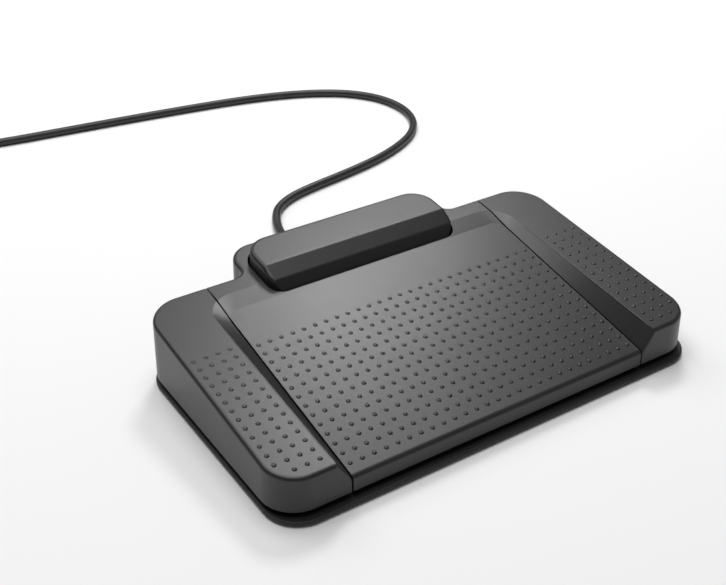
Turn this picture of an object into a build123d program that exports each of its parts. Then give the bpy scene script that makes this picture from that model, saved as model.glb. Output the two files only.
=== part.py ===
from build123d import *
import math
import os

# Dictation foot control: three pedals and a raised bar pedal on a low base plate.
# Millimetres and degrees. +X is to the right, +Y away from the user and +Z up. The origin
# is on the floor, at the middle of the base plate's outline.

# Plan of the pedals, at the lower edge of their skirts
pedals_width = 212.0
wing_depth = 119.8
hump_width = 111.2
hump_depth = 20.2
front_corner_radius = 15.0
rear_corner_radius = 17.0
hump_corner_radius = 12.5
hump_foot_radius = 5.0
draft = 1.5

# Base plate and what it stands on
flange_side = 0.6
flange_front = 3.2
flange_rear = 0.8
foot_height = 0.8
plate_thickness = 1.8
flange_edge_radius = 0.7
foot_recess = 0.6
foot_length = 36.0
foot_width = 10.0
foot_inset = 24.0
foot_margin = 14.0
tray_gap = 1.2
tray_wall = 1.8
tray_height = 5.4

# Pedal tops: the wings and the rim lie in one sloping plane, the pad in a steeper one
skirt_height = 5.2
wing_front_height = 20.8
wing_slope = 6.32
wing_edge_radius = 1.8
pad_front_height = 12.1
pad_slope = 10.39
pad_edge_radius = 2.2
ridge_x = 80.8
ridge_depth = 109.6
ridge_corner_radius = 13.3
pad_depth = 100.3
pad_corner_radius = 6.5
seam_x = 74.5
seam_gap = 0.8
wall = 2.2
roof = 2.4
slope_wall = 1.0

# Bar pedal and the slot it stands in
bar_width = 100.0
bar_depth = 30.6
bar_behind = 7.4
bar_crease = 9.8
bar_rise = 6.6
bar_front_lean = 2.5
bar_front_rise = 2.9
bar_sink = 2.5
bar_front_corner_radius = 7.0
bar_rear_corner_radius = 12.0
bar_edge_radius = 2.2
slot_side_gap = 0.5
slot_front_gap = 1.2
slot_rear_gap = 1.4
collar_wall = 1.6
collar_foot = 24.0

# Hinges
axle_radius = 1.5
running_fit = 0.05
press_fit = 0.01
lug_thickness = 3.0
lug_radius = 4.0
side_play = 0.7
wing_axis_inset = 11.6
wing_axis_height = 10.0
wing_hinge_shift = 2.5
wing_lug_spacing = 8.0
centre_axis_inset = 10.0
centre_axis_height = 10.0
centre_hinge_x = 44.5
axle_overhang = 0.6
bar_axis_inset = 14.8
bar_axis_height = 29.0
bar_hinge_x = 34.0
tower_foot_gap = 3.0
tower_plate = 2.0
tower_margin = 7.0
tower_rib = 9.0
tower_outer_screw_x = 35.4
tower_front_inset = 6.7
tower_screw_gap = 2.0
wing_travel = 1.2
centre_travel = 1.0

# Return springs, catches and bumpers
spring_radius = 4.0
spring_wire = 0.8
spring_pitch = 2.4
spring_chords = 12
spring_facets = 8
spring_seat_gap = 0.1
spring_cup_wall = 1.2
spring_cup_height = 2.0
spring_peg_radius = 2.6
spring_peg_length = 3.0
spring_depth = 46.0
centre_spring_x = 45.0
bar_spring_x = 20.0
bar_spring_gap = 0.5
bar_pillar_height = 23.5
bar_catch_x = 29.0
bar_catch_inset = 4.0
bar_toe_height = 14.4
shelf_gap = 2.0
catch_depth = 26.0
centre_catch_x = 52.0
catch_width = 6.0
catch_leg = 2.0
toe_reach = 4.0
bridge_depth = 2.0
toe_thickness = 2.2
toe_height = 7.2
catch_play = 0.2
catch_post = 2.4
bridge_thickness = 2.0
bumper_radius = 2.6
bumper_play = 0.2
bumper_ahead = 1.0

# Circuit board, sensors and cable
board_width = 70.0
board_depth = 26.0
board_thickness = 1.6
board_standoff = 2.0
board_behind = 73.0
board_screw_inset = 4.0
chip_size = 7.0
chip_height = 1.2
socket_width = 12.0
socket_depth = 7.0
socket_height = 6.0
sensor_width = 7.2
sensor_depth = 10.0
sensor_behind = 66.0
sensor_screw_offset = 9.0
sensor_screw_room = 7.0
sensor_lead_offset = 3.5
hall_size = 4.0
hall_height = 1.4
magnet_radius = 3.0
magnet_thickness = 2.0
magnet_inset = 0.4
magnet_post_radius = 3.6
magnet_air_gap = 4.5
wire_radius = 0.6
screw_radius = 1.2
screw_head_radius = 2.4
screw_cross_reach = 1.44
screw_head_height = 1.6
board_screw_length = 3.4
tower_screw_length = 4.6
clamp_screw_length = 8.0
screw_cross = 0.8
boss_radius = 3.2
cable_radius = 2.35
exit_height = 8.0
boot_collar_radius = 5.0
boot_collar_thickness = 1.6
boot_neck_radius = 4.0
boot_tip_radius = 3.2
boot_base_radius = 4.6
boot_length = 18.3
boot_grooves = 4
boot_groove = 1.2
boot_groove_pitch = 3.6
notch_clearance = 1.2
clamp_screw_x = 7.0
clamp_behind = 40.0
clamp_depth = 6.0
clamp_height = 4.4
coil_radius = 25.5
coil_columns = 3
coil_layers = 4
plug_length = 34.0
plug_width = 16.0
plug_height = 8.4
plug_shell_length = 12.0
plug_shell_width = 12.0
plug_shell_height = 4.5
plug_shell_wall = 0.3
plug_sleeve = 9.0
plug_sleeve_wall = 0.4
plug_corner = 2.4
plug_window = 2.2
plug_window_x = 2.6
plug_window_z = 6.5
plug_tongue_height = 1.8
plug_tongue_gap = 0.4
plug_align = (Align.CENTER, Align.CENTER, Align.MIN)

# Route of the cable from the tip of its boot to the coil, centre line
cable_route = [
    (0.0, 89.5, 8.0),
    (0.0, 98.0, 8.0),
    (0.5, 107.5, 6.2),
    (1.8, 117.0, 3.6),
    (4.6, 127.0, 2.5),
    (9.0, 137.6, 2.4),
    (16.0, 148.0, 2.4),
    (29.0, 155.4, 2.4),
    (46.0, 159.3, 2.4),
    (64.0, 162.2, 2.4),
    (82.0, 165.6, 2.4),
    (100.0, 170.2, 2.4),
    (117.0, 177.2, 2.4),
    (133.0, 187.0, 2.4),
    (145.5, 202.0, 2.4),
    (151.0, 222.0, 2.4),
    (147.5, 243.5, 2.4),
    (135.5, 261.0, 2.4),
    (118.5, 273.3, 2.4),
    (97.0, 283.0, 2.4),
    (70.0, 290.6, 2.4),
    (42.0, 295.6, 2.4),
    (12.0, 300.2, 2.4),
    (-18.0, 304.2, 2.4),
    (-48.0, 308.1, 2.4),
    (-77.0, 311.7, 2.4),
    (-100.0, 316.4, 2.4),
    (-119.0, 320.7, 2.4),
    (-139.0, 322.9, 2.4),
]

# Short lead from the coil to the plug, centre line
plug_route = [
    (-169.0, 292.1, 7.0),
    (-169.5, 278.0, 5.2),
    (-166.8, 263.5, 2.6),
    (-161.0, 249.0, 4.2),
    (-156.5, 236.5, 4.2),
]

# Places that follow from the sizes above
total_depth = flange_front + wing_depth + hump_depth + flange_rear
front_y = flange_front - total_depth / 2
rim_y = front_y + wing_depth
hump_y = rim_y + hump_depth
plate_top = foot_height + plate_thickness
tray_top = plate_top + tray_height
seam_outer = seam_x + seam_gap / 2
seam_inner = seam_x - seam_gap / 2
wing_x = (seam_outer + pedals_width / 2) / 2
wing_axis_y = rim_y - wing_axis_inset
centre_axis_y = hump_y - centre_axis_inset
bar_axis_y = hump_y - bar_axis_inset
bar_rear = hump_y - bar_behind
bar_front = bar_rear - bar_depth
spring_y = front_y + spring_depth
bar_spring_y = bar_axis_y - axle_radius - spring_radius - spring_wire / 2 - bar_spring_gap
catch_y = front_y + catch_depth
board_y = hump_y - board_behind
sensor_y = hump_y - sensor_behind
lug_bore = axle_radius + running_fit
wing_hinge_x = wing_x - wing_hinge_shift
wing_lug_x = wing_lug_spacing / 2
wing_post_x = wing_lug_x + lug_thickness + side_play
centre_post_x = lug_thickness + side_play
bar_lug_x = lug_thickness + side_play
axle_reach = wing_post_x + lug_thickness / 2 + axle_overhang
centre_axle_reach = centre_post_x + lug_thickness / 2 + axle_overhang
bar_axle_reach = bar_hinge_x + bar_lug_x + lug_thickness / 2 + axle_overhang
tower_foot = plate_top + tower_foot_gap
tower_front_screw_y = bar_front + tower_front_inset
tower_rear_screw_y = bar_spring_y + spring_radius + spring_wire + screw_head_radius + tower_screw_gap
bar_sole = wing_front_height + (bar_front - front_y) * math.tan(math.radians(wing_slope)) - bar_sink
board_foot = plate_top + board_standoff
clamp_y = hump_y - clamp_behind
clamp_ends = (clamp_y - clamp_depth / 2, clamp_y + clamp_depth / 2)
reach = 2 * pedals_width


def wing_z(y):
    """Height of the wings' plane at y."""
    return wing_front_height + (y - front_y) * math.tan(math.radians(wing_slope))


def pad_z(y):
    """Height of the pad's plane at y."""
    return pad_front_height + (y - front_y) * math.tan(math.radians(pad_slope))


def sloping_plane(height, slope, y=None):
    """Plane that rises to the rear at slope degrees and has this height at y."""
    angle = math.radians(slope)
    return Plane(
        origin=(0, front_y if y is None else y, height),
        x_dir=(1, 0, 0),
        z_dir=(0, -math.sin(angle), math.cos(angle)),
    )


def above(plane):
    """Everything above a plane."""
    return plane * Box(reach, 2 * reach, reach, align=(Align.CENTER, Align.CENTER, Align.MIN))


def block(x0, x1, y0, y1, z0, z1):
    """Box between two opposite corners."""
    return Pos(x0, y0, z0) * Box(x1 - x0, y1 - y0, z1 - z0, align=Align.MIN)


def post(x, y, z0, z1, radius):
    """Upright cylinder."""
    return Pos(x, y, z0) * Cylinder(radius, z1 - z0, align=(Align.CENTER, Align.CENTER, Align.MIN))


def pin_along_x(x0, x1, y, z, radius):
    """Cylinder along X between x0 and x1."""
    return Pos((x0 + x1) / 2, y, z) * Rot(0, 90, 0) * Cylinder(radius, abs(x1 - x0))


def pin_along_y(y0, y1, x, z, radius):
    """Cylinder along Y between y0 and y1."""
    return Pos(x, (y0 + y1) / 2, z) * Rot(90, 0, 0) * Cylinder(radius, abs(y1 - y0))


def mirrored(shape):
    """The same shape on the other side of the middle plane."""
    return mirror(shape, about=Plane.YZ)


def plan(side, front, rear):
    """Outline of wings and hump, grown by these margins."""
    half = pedals_width / 2 + side
    hump = hump_width / 2 + side
    y0 = front_y - front
    y1 = rim_y + rear
    y2 = hump_y + rear
    corners = [
        ((-half, y0), front_corner_radius + side),
        ((half, y0), front_corner_radius + side),
        ((half, y1), rear_corner_radius + side),
        ((hump, y1), hump_foot_radius - rear),
        ((hump, y2), hump_corner_radius + side),
        ((-hump, y2), hump_corner_radius + side),
        ((-hump, y1), hump_foot_radius - rear),
        ((-half, y1), rear_corner_radius + side),
    ]
    line = FilletPolyline(*[c[0] for c in corners], radius=[c[1] for c in corners], close=True)
    return make_face(line)


def recess(grow, drop):
    """Space over the pad, from the pad's edge up to the ridge on the wings and the rim."""
    faces = []
    for plane, half, depth, radius in (
        (
            sloping_plane(pad_front_height - drop, pad_slope),
            seam_outer + grow,
            (pad_depth + grow) / math.cos(math.radians(pad_slope)),
            pad_corner_radius + grow,
        ),
        (
            sloping_plane(wing_front_height - drop, wing_slope),
            ridge_x + grow,
            (ridge_depth + grow) / math.cos(math.radians(wing_slope)),
            ridge_corner_radius + grow,
        ),
    ):
        line = FilletPolyline(
            (-half, -3 * flange_front),
            (-half, depth),
            (half, depth),
            (half, -3 * flange_front),
            radius=radius,
        )
        face = make_face(line + Line(line @ 1, line @ 0))
        faces.append(plane * face)
    return loft(faces, ruled=True)


def envelope(inset, drop, grow, foot):
    """Body under the wings' plane and the pad, with its walls moved in and its top moved down."""
    height = wing_z(hump_y) + wall
    body = Pos(0, 0, foot) * extrude(plan(-inset, -inset, -inset), height - foot, taper=draft)
    body -= above(sloping_plane(wing_front_height - drop, wing_slope))
    return body - recess(grow, drop)


def slab(x0, x1):
    """Everything between two values of x."""
    return block(x0, x1, -reach, reach, -reach / 2, reach / 2)


skin = envelope(0, 0, 0, skirt_height)
core = envelope(wall, roof, slope_wall, skirt_height - roof)
skin_below_roof = envelope(wall / 2, roof / 2, slope_wall / 2, toe_height)
bar_spring_top = wing_z(bar_spring_y - spring_radius) + bar_rise - wall


def on_wing_plane(edge):
    """Whether an edge lies in the plane of the wings' tops."""
    return abs(wing_z(edge.center().Y) - edge.center().Z) < 0.01


def on_outline(edge):
    """Whether an edge of the wings' plane lies on the outer wall, and not on the ridge."""
    return abs(edge.center().X) > ridge_x + 0.1 or edge.center().Y > rim_y - wall


def at_front(edge):
    """Whether an edge lies on the front wall, above the middle of its height."""
    return edge.center().Y < front_y + 1 and edge.center().Z > pad_front_height


def magnet_foot(board_height):
    """Lower face of a magnet that stands over a sensor on a board at this height."""
    return board_height + board_thickness + hall_height + magnet_air_gap


def hinge_lug(x, y, z, top):
    """Plate that hangs down to an axle and turns on it."""
    x0 = x - lug_thickness / 2
    x1 = x + lug_thickness / 2
    plate = block(x0, x1, y - lug_radius, y + lug_radius, z, top)
    return plate + pin_along_x(x0, x1, y, z, lug_radius)


def hinge_post(x, y, z, foot):
    """Upright that holds an axle."""
    x0 = x - lug_thickness / 2
    x1 = x + lug_thickness / 2
    plate = block(x0, x1, y - lug_radius, y + lug_radius, foot, z)
    return plate + pin_along_x(x0, x1, y, z, lug_radius)


def catch_hook(x):
    """Leg whose toe goes under the base's bridge and holds the pedal down."""
    half = catch_width / 2
    rear = catch_y - side_play
    leg = block(x - half, x + half, rear - catch_leg, rear, toe_height, reach / 4)
    top = toe_height + toe_thickness
    return leg + block(x - half, x + half, rear - catch_leg, rear + toe_reach, toe_height, top)


def catch_bridge(x):
    """Arch of the base over a pedal's toe."""
    half = catch_width / 2 + side_play
    rear = catch_y + bridge_depth
    under = toe_height + toe_thickness + catch_play
    sides = (x - half - catch_post, x + half + catch_post)
    arch = block(*sides, catch_y, rear, foot_height + foot_recess, under + bridge_thickness)
    return arch - block(x - half, x + half, catch_y - 1, rear + 1, foot_height, under)


def wing_shell():
    """Right pedal: shell, hinge lugs, catch hook, spring peg and magnet post."""
    shell = skin & slab(seam_outer, reach)
    outline = [e for e in shell.edges() if on_wing_plane(e) and on_outline(e)]
    slope_front = [
        e for e in shell.edges() if at_front(e) and seam_outer + 1 < e.center().X < ridge_x
    ]
    shell = fillet(outline + slope_front, wing_edge_radius)
    hollow = core & slab(seam_outer + wall, reach)
    inner = hinge_lug(wing_hinge_x - wing_lug_x, wing_axis_y, wing_axis_height, reach / 4)
    inner += hinge_lug(wing_hinge_x + wing_lug_x, wing_axis_y, wing_axis_height, reach / 4)
    inner += catch_hook(wing_x)
    peg_foot = wing_z(spring_y) - roof - spring_peg_length
    inner += post(wing_x, spring_y, peg_foot, reach / 4, spring_peg_radius)
    magnet_top = magnet_foot(board_foot) + magnet_thickness
    inner += post(wing_x, sensor_y, magnet_top, reach / 4, magnet_post_radius)
    shell = (shell - hollow) + (inner & skin_below_roof)
    bore = pin_along_x(seam_x, wing_hinge_x + axle_reach, wing_axis_y, wing_axis_height, lug_bore)
    return shell - (bore & slab(seam_outer + wall, reach))


def slot_outline(grow):
    """Outline of the slot that the bar pedal stands in."""
    half = bar_width / 2 + slot_side_gap + grow
    y0 = bar_front - slot_front_gap - grow
    y1 = bar_rear + slot_rear_gap + grow
    front = bar_front_corner_radius + slot_side_gap + grow
    rear = bar_rear_corner_radius + slot_side_gap + grow
    line = FilletPolyline(
        (-half, y0), (half, y0), (half, y1), (-half, y1), radius=[front, front, rear, rear], close=True
    )
    return make_face(line)


def centre_lug(x):
    """Hinge lug on an arm from the hump's rear wall, over the base's tray wall."""
    x0 = x - lug_thickness / 2
    x1 = x + lug_thickness / 2
    arm_foot = centre_axis_height
    arm = block(x0, x1, centre_axis_y - lug_radius, hump_y - wall, arm_foot, arm_foot + 2 * lug_radius)
    return arm + pin_along_x(x0, x1, centre_axis_y, centre_axis_height, lug_radius)


def centre_shell():
    """Centre pedal: pad, rim and hump in one shell, with the slot for the bar pedal."""
    shell = skin & slab(-seam_inner, seam_inner)
    outline = [e for e in shell.edges() if on_wing_plane(e) and on_outline(e)]
    shell = fillet(outline, wing_edge_radius)
    pad_front = [e for e in shell.edges() if at_front(e) and abs(e.center().X) < 1]
    shell = fillet(pad_front, pad_edge_radius)
    shell -= core & slab(wall - seam_inner, seam_inner - wall)
    collar = Pos(0, 0, collar_foot) * extrude(slot_outline(collar_wall), reach / 4)
    inner = collar
    for side in (-1, 1):
        inner += catch_hook(side * centre_catch_x)
        peg_foot = pad_z(spring_y) - roof - spring_peg_length
        inner += post(side * centre_spring_x, spring_y, peg_foot, reach / 4, spring_peg_radius)
    magnet_top = magnet_foot(board_foot) + magnet_thickness
    inner += post(0, board_y, magnet_top, reach / 4, magnet_post_radius)
    shell += inner & skin_below_roof
    for side in (-1, 1):
        shell += centre_lug(side * centre_hinge_x)
        bore_start = side * (centre_hinge_x - lug_thickness)
        bore_end = side * (centre_hinge_x + lug_thickness)
        shell -= pin_along_x(bore_start, bore_end, centre_axis_y, centre_axis_height, lug_bore)
    shell -= Pos(0, 0, collar_foot - 1) * extrude(slot_outline(0), reach / 4)
    notch = boot_base_radius + notch_clearance
    shell -= pin_along_y(hump_y - 3 * wall, hump_y + wall, 0, exit_height, notch)
    return shell - block(-notch, notch, hump_y - 3 * wall, hump_y + wall, 0, exit_height)


def bar_body(inset, drop, foot):
    """Bar with a sloping top, a bevel in front of it and a steep front face."""
    half = bar_width / 2 - inset
    y0 = bar_front + inset
    y1 = bar_rear - inset
    front = bar_front_corner_radius - inset
    rear = bar_rear_corner_radius - inset
    line = FilletPolyline(
        (-half, y0), (half, y0), (half, y1), (-half, y1), radius=[front, front, rear, rear], close=True
    )
    crease_y = bar_front + bar_crease
    crease_z = wing_z(crease_y) + bar_rise
    bevel_y = bar_front + bar_front_lean
    bevel_z = wing_z(bevel_y) + bar_front_rise
    bevel = math.degrees(math.atan2(crease_z - bevel_z, crease_y - bevel_y))
    face = math.degrees(math.atan2(bevel_z - bar_sole, bar_front_lean))
    body = Pos(0, 0, bar_sole - foot) * extrude(make_face(line), 2 * (crease_z - bar_sole), taper=draft)
    for height, slope, y in (
        (crease_z, wing_slope, crease_y),
        (crease_z, bevel, crease_y),
        (bevel_z, face, bevel_y),
    ):
        body -= above(sloping_plane(height - drop / math.cos(math.radians(slope)), slope, y))
    return body


def bar_shell():
    """Bar pedal: shell with two hinge lugs, two catch hooks and two spring pegs."""
    shell = bar_body(0, 0, 0)
    upper = [e for e in shell.edges() if min(v.Z for v in e.vertices()) > bar_sole + 1]
    shell = fillet(upper, bar_edge_radius)
    solid = bar_body(wall / 2, wall / 2, reach / 4)
    shell -= bar_body(wall, wall, wall)
    inner = []
    for side in (-1, 1):
        inner.append(hinge_lug(side * (bar_hinge_x + bar_lug_x), bar_axis_y, bar_axis_height, reach / 4))
        peg_foot = bar_spring_top - spring_peg_length
        inner.append(post(side * bar_spring_x, bar_spring_y, peg_foot, reach / 4, spring_peg_radius))
        x0 = side * bar_catch_x - catch_width / 2
        x1 = x0 + catch_width
        leg_y = bar_front + bar_catch_inset
        inner.append(block(x0, x1, leg_y, leg_y + catch_leg, bar_toe_height, reach / 4))
        toe_rear = leg_y + catch_leg + toe_reach
        inner.append(block(x0, x1, leg_y, toe_rear, bar_toe_height, bar_toe_height + toe_thickness))
    for piece in inner:
        shell += piece & solid
    bore_reach = bar_hinge_x + bar_lug_x + lug_thickness
    return shell - pin_along_x(-bore_reach, bore_reach, bar_axis_y, bar_axis_height, lug_bore)


def foot_places():
    """Name and place of each rubber foot."""
    for side, x in (("left", -1), ("right", 1)):
        for end, y in (("front", front_y + foot_margin), ("rear", rim_y - foot_margin)):
            yield f"{end}_{side}", x * (pedals_width / 2 - foot_inset), y


def foot_pad(x, y, grow, z0, z1):
    """Rounded strip, grown by this much."""
    face = SlotOverall(foot_length + 2 * grow, foot_width + 2 * grow)
    return Pos(x, y, z0) * extrude(face, z1 - z0)


def spring_cup(x, y):
    """Ring of the base round a spring's foot."""
    inner = spring_radius + spring_wire
    ring = post(x, y, plate_top - foot_recess, plate_top + spring_cup_height, inner + spring_cup_wall)
    return ring - post(x, y, plate_top, plate_top + spring_cup_height, inner)


def boss(x, y, top):
    """Boss of the base, with a pilot hole for a screw."""
    solid = post(x, y, plate_top - foot_recess, top, boss_radius)
    return solid - post(x, y, plate_top, top, screw_radius)


def base_plate():
    """Base: plate with a flange, tray wall, hinge posts, bridges, cups and bosses."""
    flat = Pos(0, 0, foot_height) * extrude(plan(flange_side, flange_front, flange_rear), plate_thickness)
    rims = [e for e in flat.edges() if abs(e.center().Z - foot_height - plate_thickness / 2) > 0.1]
    base = fillet(rims, flange_edge_radius)
    outer = wall + tray_gap
    inner = outer + tray_wall
    tray = extrude(plan(-outer, -outer, -outer), tray_height + foot_recess)
    tray -= extrude(plan(-inner, -inner, -inner), tray_height + foot_recess)
    tray = Pos(0, 0, plate_top - foot_recess) * tray
    seam_room = wall + tray_gap
    for side in (-1, 1):
        x0, x1 = sorted((side * (seam_inner - seam_room), side * (seam_outer + seam_room)))
        tray -= block(x0, x1, -reach, reach, plate_top, tray_top + 1)
    tray -= block(-boot_neck_radius, boot_neck_radius, rim_y, hump_y, exit_height, tray_top + 1)
    tray -= pin_along_y(rim_y, hump_y, 0, exit_height, boot_neck_radius)
    base += tray
    foot = plate_top - foot_recess
    for side in (-1, 1):
        for x in (wing_hinge_x - wing_post_x, wing_hinge_x + wing_post_x):
            base += hinge_post(side * x, wing_axis_y, wing_axis_height, foot)
        for x in (centre_hinge_x - centre_post_x, centre_hinge_x + centre_post_x):
            base += hinge_post(side * x, centre_axis_y, centre_axis_height, foot)
        base += catch_bridge(side * wing_x)
        base += catch_bridge(side * centre_catch_x)
        base += spring_cup(side * wing_x, spring_y)
        base += spring_cup(side * centre_spring_x, spring_y)
        base -= axle(side * wing_hinge_x, wing_axis_y, wing_axis_height, axle_reach, press_fit)
        base -= axle(side * centre_hinge_x, centre_axis_y, centre_axis_height, centre_axle_reach, press_fit)
    for x, y in tower_screw_places():
        base += boss(x, y, tower_foot)
    for x, y in board_screw_places():
        base += boss(x, y, board_foot)
    for x in (-clamp_screw_x, clamp_screw_x):
        base += boss(x, clamp_y, exit_height)
    cradle = block(-clamp_screw_x, clamp_screw_x, *clamp_ends, foot, exit_height)
    cradle -= pin_along_y(*clamp_ends, 0, exit_height, cable_radius + running_fit)
    for x in (-clamp_screw_x, clamp_screw_x):
        cradle -= post(x, clamp_y, plate_top, exit_height, screw_radius)
    base += cradle
    for _, x, y in foot_places():
        base -= foot_pad(x, y, press_fit, 0, foot_height + foot_recess)
    return base


def axle(x, y, z, half_length, shrink=0.0):
    """Hinge pin, or the hole for it when it is shrunk by the press fit."""
    return pin_along_x(x - half_length, x + half_length, y, z, axle_radius - shrink)


def tower_screw_places():
    """Places of the screws that hold the two towers."""
    for side in (-1, 1):
        for x, y in ((tower_outer_screw_x, tower_front_screw_y), (bar_spring_x, tower_rear_screw_y)):
            yield side * x, y


def board_screw_places():
    """Places of the screws that hold the circuit board and the wings' sensor boards."""
    for side in (-1, 1):
        for end in (-1, 1):
            x = side * (board_width / 2 - board_screw_inset)
            yield x, board_y + end * (board_depth / 2 - board_screw_inset)
        yield side * wing_x, sensor_y - sensor_screw_offset


def tower():
    """Right tower: plate, hinge post, spring pillar and the shelf that the bar's toe goes under."""
    x0 = bar_spring_x - tower_margin
    x1 = tower_outer_screw_x + boss_radius
    y0 = tower_front_screw_y - boss_radius
    body = block(x0, x1, y0, tower_rear_screw_y + boss_radius, tower_foot, tower_foot + tower_plate)
    body += hinge_post(bar_hinge_x, bar_axis_y, bar_axis_height, tower_foot)
    rib_x = bar_hinge_x - tower_rib
    rib_y0 = bar_axis_y - roof / 2
    rib_y1 = bar_axis_y + roof / 2
    body += block(rib_x, bar_hinge_x, rib_y0, rib_y1, tower_foot, bar_toe_height)
    body += post(bar_spring_x, bar_spring_y, tower_foot, bar_pillar_height, spring_radius + spring_wire)
    shelf_z = bar_toe_height + toe_thickness + catch_play
    shelf_y = bar_front + bar_catch_inset + catch_leg + shelf_gap
    shelf_x = bar_hinge_x + lug_thickness / 2
    body += block(bar_spring_x, shelf_x, shelf_y, bar_axis_y, shelf_z, shelf_z + bridge_thickness)
    body -= axle(0, bar_axis_y, bar_axis_height, bar_axle_reach, press_fit)
    for x, y in tower_screw_places():
        body -= post(x, y, tower_foot, tower_foot + tower_plate, screw_radius)
    return body


def screws(places, seat, length):
    """Pan head screws with a cross recess, with shanks of this length below the seat."""
    made = []
    for x, y in places:
        head = post(x, y, seat, seat + screw_head_height, screw_head_radius)
        head = fillet(head.edges().sort_by(Axis.Z)[-1], screw_head_height / 2)
        top = seat + screw_head_height
        for wide, deep in ((screw_cross_reach, screw_cross / 2), (screw_cross / 2, screw_cross_reach)):
            head -= block(x - wide, x + wide, y - deep, y + deep, seat + screw_head_height / 2, top)
        made.append(head + post(x, y, seat - length, seat, screw_radius))
    return Compound(children=made)


def coil_spring(x, y, z0, z1):
    """Compression spring of round wire between two heights, in short straight chords."""
    rise = z1 - z0 - 2 * spring_seat_gap - 2 * spring_wire
    count = spring_chords * round(rise / spring_pitch)
    foot = z0 + spring_seat_gap + spring_wire
    line = []
    for step in range(count + 1):
        turn = math.tau * step / spring_chords
        line.append(
            Vector(
                x + spring_radius * math.cos(turn),
                y + spring_radius * math.sin(turn),
                foot + rise * step / count,
            )
        )
    section = Plane(origin=line[0], z_dir=line[1] - line[0]) * RegularPolygon(spring_wire / 2, spring_facets)
    return sweep(section, Polyline(*line), transition=Transition.RIGHT)


def bumper(x, axis_y, travel):
    """Rubber button under a pedal's toe, short of it by the travel and a little play."""
    drop = (axis_y - catch_y) * math.sin(math.radians(travel))
    return post(x, catch_y + bumper_ahead, plate_top, toe_height - drop - bumper_play, bumper_radius)


def magnet(x, y, foot, radius=None):
    """Disc magnet."""
    return post(x, y, foot, foot + magnet_thickness, magnet_radius if radius is None else radius)


def circuit_board():
    """Main board on its bosses, with screw holes."""
    board = block(
        -board_width / 2,
        board_width / 2,
        board_y - board_depth / 2,
        board_y + board_depth / 2,
        board_foot,
        board_foot + board_thickness,
    )
    for x, y in board_screw_places():
        board -= post(x, y, board_foot, board_foot + board_thickness, screw_radius)
    return board


def sensor_board(x, y, foot, screw_hole):
    """Small board with a magnetic sensor on it."""
    half_w = sensor_width / 2
    half_d = sensor_depth / 2
    top = foot + board_thickness
    board = block(x - half_w, x + half_w, y - half_d - screw_hole, y + half_d, foot, top)
    if screw_hole:
        board -= post(x, y - sensor_screw_offset, foot, top, screw_radius)
    half = hall_size / 2
    return board + block(x - half, x + half, y - half, y + half, top, top + hall_height)


def boot():
    """Strain relief: a collar inside the tray wall, a neck, and a tapered ribbed sleeve."""
    wall_inside = hump_y - wall - tray_gap - tray_wall
    wall_outside = wall_inside + tray_wall
    body = pin_along_y(wall_inside - boot_collar_thickness, wall_inside, 0, exit_height, boot_collar_radius)
    body += pin_along_y(wall_inside, wall_outside, 0, exit_height, boot_neck_radius - running_fit)
    length = hump_y + boot_length - wall_outside
    cone = Cone(boot_base_radius, boot_tip_radius, length, align=(Align.CENTER, Align.CENTER, Align.MIN))
    body += Pos(0, wall_outside, exit_height) * Rot(-90, 0, 0) * cone
    for i in range(boot_grooves):
        y = hump_y + boot_groove_pitch * (i + 1)
        share = (y - wall_outside) / length
        radius = boot_base_radius + (boot_tip_radius - boot_base_radius) * share
        ring = pin_along_y(y - boot_groove / 2, y + boot_groove / 2, 0, exit_height, radius + 1)
        ring -= pin_along_y(y - boot_groove, y + boot_groove, 0, exit_height, radius - boot_groove / 2)
        body -= ring
    return body


def clamp():
    """Saddle that holds the cable down on its cradle."""
    half = clamp_screw_x + boss_radius
    body = block(-half, half, *clamp_ends, exit_height, exit_height + clamp_height)
    body -= pin_along_y(*clamp_ends, 0, exit_height, cable_radius + running_fit)
    for x in (-clamp_screw_x, clamp_screw_x):
        body -= post(x, clamp_y, exit_height, exit_height + clamp_height, screw_radius)
    return body


def tube(route, name):
    """Round cable along a route: straight runs joined by arcs as large as the runs allow."""
    points = [Vector(*p) for p in route]
    radii = []
    for before, here, after in zip(points, points[1:], points[2:]):
        turn = math.radians((here - before).get_angle(after - here))
        run = min((here - before).length, (after - here).length)
        radii.append(0.45 * run / math.tan(turn / 2))
    path = FilletPolyline(*points, radius=radii)
    section = Plane(origin=path @ 0, z_dir=path % 0) * Circle(cable_radius)
    solid = sweep(section, path)
    expected = math.pi * cable_radius**2 * path.length
    print(name, "length", round(path.length, 1), "volume ratio", round(solid.volume / expected, 4))
    print(name, "radii", [round(r, 1) for r in radii])
    return solid


def cable_coil():
    """Outer shape of the coiled length."""
    turn = 2 * cable_radius
    half = coil_columns * turn / 2
    height = coil_layers * turn
    x = cable_route[-1][0]
    y = cable_route[-1][1] - coil_radius
    z0 = cable_route[-1][2] - cable_radius
    ring = post(x, y, z0, z0 + height, coil_radius + half)
    ring -= post(x, y, z0, z0 + height, coil_radius - half)
    return fillet(ring.edges().filter_by(GeomType.CIRCLE), cable_radius * 0.9)


def plug_frame():
    """Frame at the plug's cable end, with Z along the plug."""
    end = Vector(*plug_route[-1])
    along = end - Vector(*plug_route[-2])
    return Plane(origin=end, x_dir=(along.Y, -along.X, 0), z_dir=(along.X, along.Y, 0))


def plug_body():
    """Moulded grip of the plug, with a sleeve for the cable."""
    sleeve = Cone(cable_radius + plug_sleeve_wall, plug_height / 2, plug_sleeve, align=plug_align)
    grip = extrude(RectangleRounded(plug_width, plug_height, plug_corner), plug_length - plug_sleeve)
    grip = fillet(grip.faces().sort_by(Axis.Z)[0].edges(), plug_corner / 2)
    return plug_frame() * (sleeve + Pos(0, 0, plug_sleeve) * grip)


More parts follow.
